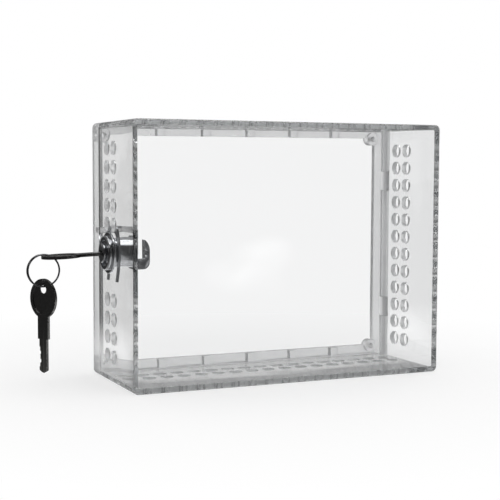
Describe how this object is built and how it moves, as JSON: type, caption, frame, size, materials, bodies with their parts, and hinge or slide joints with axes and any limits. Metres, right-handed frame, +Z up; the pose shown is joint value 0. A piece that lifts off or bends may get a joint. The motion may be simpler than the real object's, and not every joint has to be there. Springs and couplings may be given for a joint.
{
  "type": "thermostat lock box",
  "caption": "Clear plastic lock box that fits over a wall thermostat: a hinged, vented cover on a ring base, with a cam lock in its side and keys on a split ring.",
  "frame": {"origin": "centre of the box's back, on the wall plane, which is also the centre of the wall screw pattern", "axes": "+X across the box from the lock side to the hinge side, +Y into the wall, +Z up"},
  "size_m": [0.2394, 0.075, 0.148],
  "materials": {
    "clear_plastic": "clear, glossy, moulded",
    "chrome": "bright chrome plate",
    "clip_steel": "bright zinc-plated spring steel",
    "steel_pin": "plain drawn steel",
    "wafer_brass": "stamped brass",
    "key_nickel": "dark bright nickel plate",
    "ring_steel": "polished drawn wire"
  },
  "bodies": {
    "base": {"ring_base": "clear_plastic"},
    "cover": {"cover": "clear_plastic", "hinge_pin_upper": "steel_pin", "hinge_pin_lower": "steel_pin", "lock_body": "chrome", "lock_clip": "clip_steel"},
    "plug": {"lock_plug": "chrome", "plug_snap_ring": "clip_steel", "wafer_1": "wafer_brass", "wafer_2": "wafer_brass", "wafer_3": "wafer_brass", "wafer_4": "wafer_brass", "wafer_5": "wafer_brass", "wafer_spring_1": "clip_steel", "wafer_spring_2": "clip_steel", "wafer_spring_3": "clip_steel", "wafer_spring_4": "clip_steel", "wafer_spring_5": "clip_steel"},
    "working_key": {"working_key": "key_nickel"},
    "key_ring": {"key_ring": "ring_steel"},
    "spare_key": {"spare_key": "key_nickel"}
  },
  "joints": [
    {"name": "cover_hinge", "type": "hinge", "parent": "base", "child": "cover", "pos_m": [0.09365, -0.01465, 0], "axis": [0, 0, 1], "range_deg": [0, 95]},
    {"name": "plug_turn", "type": "hinge", "parent": "cover", "child": "plug", "pos_m": [-0.096, -0.033, 0], "axis": [1, 0, 0], "range_deg": [0, 90]},
    {"name": "key_slide", "type": "slide", "parent": "plug", "child": "working_key", "axis": [-0.9992, 0, -0.0401], "range_m": [0, 0.022]},
    {"name": "ring_swing", "type": "hinge", "parent": "working_key", "child": "key_ring", "pos_m": [-0.12908, -0.033, -0.00149], "axis": [1, 0, 0], "range_deg": [-25, 25]},
    {"name": "spare_swing", "type": "hinge", "parent": "key_ring", "child": "spare_key", "pos_m": [-0.13402, -0.03241, -0.01779], "axis": [1, 0, 0], "range_deg": [-60, 60]}
  ]
}
